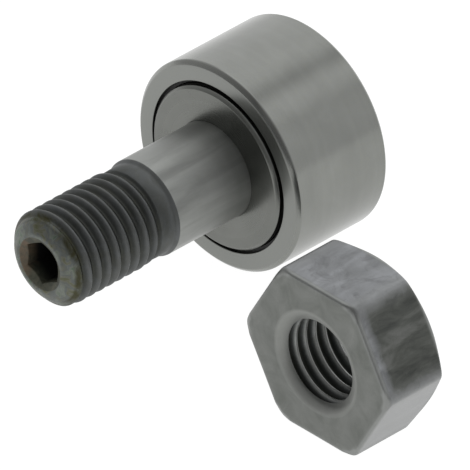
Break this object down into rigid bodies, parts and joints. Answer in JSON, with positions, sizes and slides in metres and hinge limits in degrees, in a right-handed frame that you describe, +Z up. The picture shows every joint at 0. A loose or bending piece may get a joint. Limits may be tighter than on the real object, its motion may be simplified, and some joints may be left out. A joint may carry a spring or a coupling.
{
  "type": "cam follower",
  "caption": "Stud-type cam follower: a needle-bearing roller on a flanged threaded stud, with a pressed-on side washer, seals and a loose hexagon nut.",
  "frame": {"origin": "where the stud's axis meets the side washer's seating face", "axes": "+X out along the stud to its threaded end, +Z up, the roller and the loose nut stand on the plane z = -0.011 m"},
  "size_m": [0.036, 0.0481, 0.022],
  "materials": {
    "stud_steel": "ground shank and raceway, blackened threaded end",
    "washer_steel": "finely ground, satin",
    "ring_steel": "ground and tumbled, satin",
    "nut_steel": "forged, dull dark phosphate, worn edges",
    "cage_steel": "pressed sheet, dull",
    "needle_steel": "lapped",
    "plug_steel": "turned",
    "seal_plastic": "black moulded plastic"
  },
  "bodies": {
    "stud": {"stud": "stud_steel", "side_washer": "washer_steel", "lube_plug": "plug_steel"},
    "roller": {"outer_ring": "ring_steel", "seal_stud_side": "seal_plastic", "seal_head_side": "seal_plastic"},
    "cage": {"cage": "cage_steel"},
    "needle_01": {"needle_01": "needle_steel"},
    "needle_02": {"needle_02": "needle_steel"},
    "needle_03": {"needle_03": "needle_steel"},
    "needle_04": {"needle_04": "needle_steel"},
    "needle_05": {"needle_05": "needle_steel"},
    "needle_06": {"needle_06": "needle_steel"},
    "needle_07": {"needle_07": "needle_steel"},
    "needle_08": {"needle_08": "needle_steel"},
    "needle_09": {"needle_09": "needle_steel"},
    "needle_10": {"needle_10": "needle_steel"},
    "needle_11": {"needle_11": "needle_steel"},
    "needle_12": {"needle_12": "needle_steel"},
    "needle_13": {"needle_13": "needle_steel"},
    "needle_14": {"needle_14": "needle_steel"},
    "needle_15": {"needle_15": "needle_steel"},
    "needle_16": {"needle_16": "needle_steel"},
    "nut": {"nut": "nut_steel"}
  },
  "joints": [
    {"name": "roller_spin", "type": "hinge", "parent": "stud", "child": "roller", "pos_m": [-0.0064, 0, 0], "axis": [1, 0, 0], "continuous": true},
    {"name": "cage_spin", "type": "hinge", "parent": "stud", "child": "cage", "pos_m": [-0.0064, 0, 0], "axis": [1, 0, 0], "continuous": true},
    {"name": "needle_01_spin", "type": "hinge", "parent": "cage", "child": "needle_01", "pos_m": [-0.0064, 0, 0.00702], "axis": [1, 0, 0], "continuous": true},
    {"name": "needle_02_spin", "type": "hinge", "parent": "cage", "child": "needle_02", "pos_m": [-0.0064, -0.00268, 0.00648], "axis": [1, 0, 0], "continuous": true},
    {"name": "needle_03_spin", "type": "hinge", "parent": "cage", "child": "needle_03", "pos_m": [-0.0064, -0.00496, 0.00496], "axis": [1, 0, 0], "continuous": true},
    {"name": "needle_04_spin", "type": "hinge", "parent": "cage", "child": "needle_04", "pos_m": [-0.0064, -0.00648, 0.00268], "axis": [1, 0, 0], "continuous": true},
    {"name": "needle_05_spin", "type": "hinge", "parent": "cage", "child": "needle_05", "pos_m": [-0.0064, -0.00702, 0], "axis": [1, 0, 0], "continuous": true},
    {"name": "needle_06_spin", "type": "hinge", "parent": "cage", "child": "needle_06", "pos_m": [-0.0064, -0.00648, -0.00268], "axis": [1, 0, 0], "continuous": true},
    {"name": "needle_07_spin", "type": "hinge", "parent": "cage", "child": "needle_07", "pos_m": [-0.0064, -0.00496, -0.00496], "axis": [1, 0, 0], "continuous": true},
    {"name": "needle_08_spin", "type": "hinge", "parent": "cage", "child": "needle_08", "pos_m": [-0.0064, -0.00268, -0.00648], "axis": [1, 0, 0], "continuous": true},
    {"name": "needle_09_spin", "type": "hinge", "parent": "cage", "child": "needle_09", "pos_m": [-0.0064, 0, -0.00702], "axis": [1, 0, 0], "continuous": true},
    {"name": "needle_10_spin", "type": "hinge", "parent": "cage", "child": "needle_10", "pos_m": [-0.0064, 0.00268, -0.00648], "axis": [1, 0, 0], "continuous": true},
    {"name": "needle_11_spin", "type": "hinge", "parent": "cage", "child": "needle_11", "pos_m": [-0.0064, 0.00496, -0.00496], "axis": [1, 0, 0], "continuous": true},
    {"name": "needle_12_spin", "type": "hinge", "parent": "cage", "child": "needle_12", "pos_m": [-0.0064, 0.00648, -0.00268], "axis": [1, 0, 0], "continuous": true},
    {"name": "needle_13_spin", "type": "hinge", "parent": "cage", "child": "needle_13", "pos_m": [-0.0064, 0.00702, 0], "axis": [1, 0, 0], "continuous": true},
    {"name": "needle_14_spin", "type": "hinge", "parent": "cage", "child": "needle_14", "pos_m": [-0.0064, 0.00648, 0.00268], "axis": [1, 0, 0], "continuous": true},
    {"name": "needle_15_spin", "type": "hinge", "parent": "cage", "child": "needle_15", "pos_m": [-0.0064, 0.00496, 0.00496], "axis": [1, 0, 0], "continuous": true},
    {"name": "needle_16_spin", "type": "hinge", "parent": "cage", "child": "needle_16", "pos_m": [-0.0064, 0.00268, 0.00648], "axis": [1, 0, 0], "continuous": true},
    {"name": "nut_carry", "type": "slide", "parent": "stud", "child": "nut", "axis": [0.8374, -0.5443, 0.0498], "range_m": [0, 0.05015]}
  ],
  "couplings": [
    {"joint": "cage_spin", "follows": "roller_spin", "ratio": 0.57234},
    {"joint": "needle_01_spin", "follows": "roller_spin", "ratio": 3.4427},
    {"joint": "needle_02_spin", "follows": "roller_spin", "ratio": 3.4427},
    {"joint": "needle_03_spin", "follows": "roller_spin", "ratio": 3.4427},
    {"joint": "needle_04_spin", "follows": "roller_spin", "ratio": 3.4427},
    {"joint": "needle_05_spin", "follows": "roller_spin", "ratio": 3.4427},
    {"joint": "needle_06_spin", "follows": "roller_spin", "ratio": 3.4427},
    {"joint": "needle_07_spin", "follows": "roller_spin", "ratio": 3.4427},
    {"joint": "needle_08_spin", "follows": "roller_spin", "ratio": 3.4427},
    {"joint": "needle_09_spin", "follows": "roller_spin", "ratio": 3.4427},
    {"joint": "needle_10_spin", "follows": "roller_spin", "ratio": 3.4427},
    {"joint": "needle_11_spin", "follows": "roller_spin", "ratio": 3.4427},
    {"joint": "needle_12_spin", "follows": "roller_spin", "ratio": 3.4427},
    {"joint": "needle_13_spin", "follows": "roller_spin", "ratio": 3.4427},
    {"joint": "needle_14_spin", "follows": "roller_spin", "ratio": 3.4427},
    {"joint": "needle_15_spin", "follows": "roller_spin", "ratio": 3.4427},
    {"joint": "needle_16_spin", "follows": "roller_spin", "ratio": 3.4427}
  ]
}
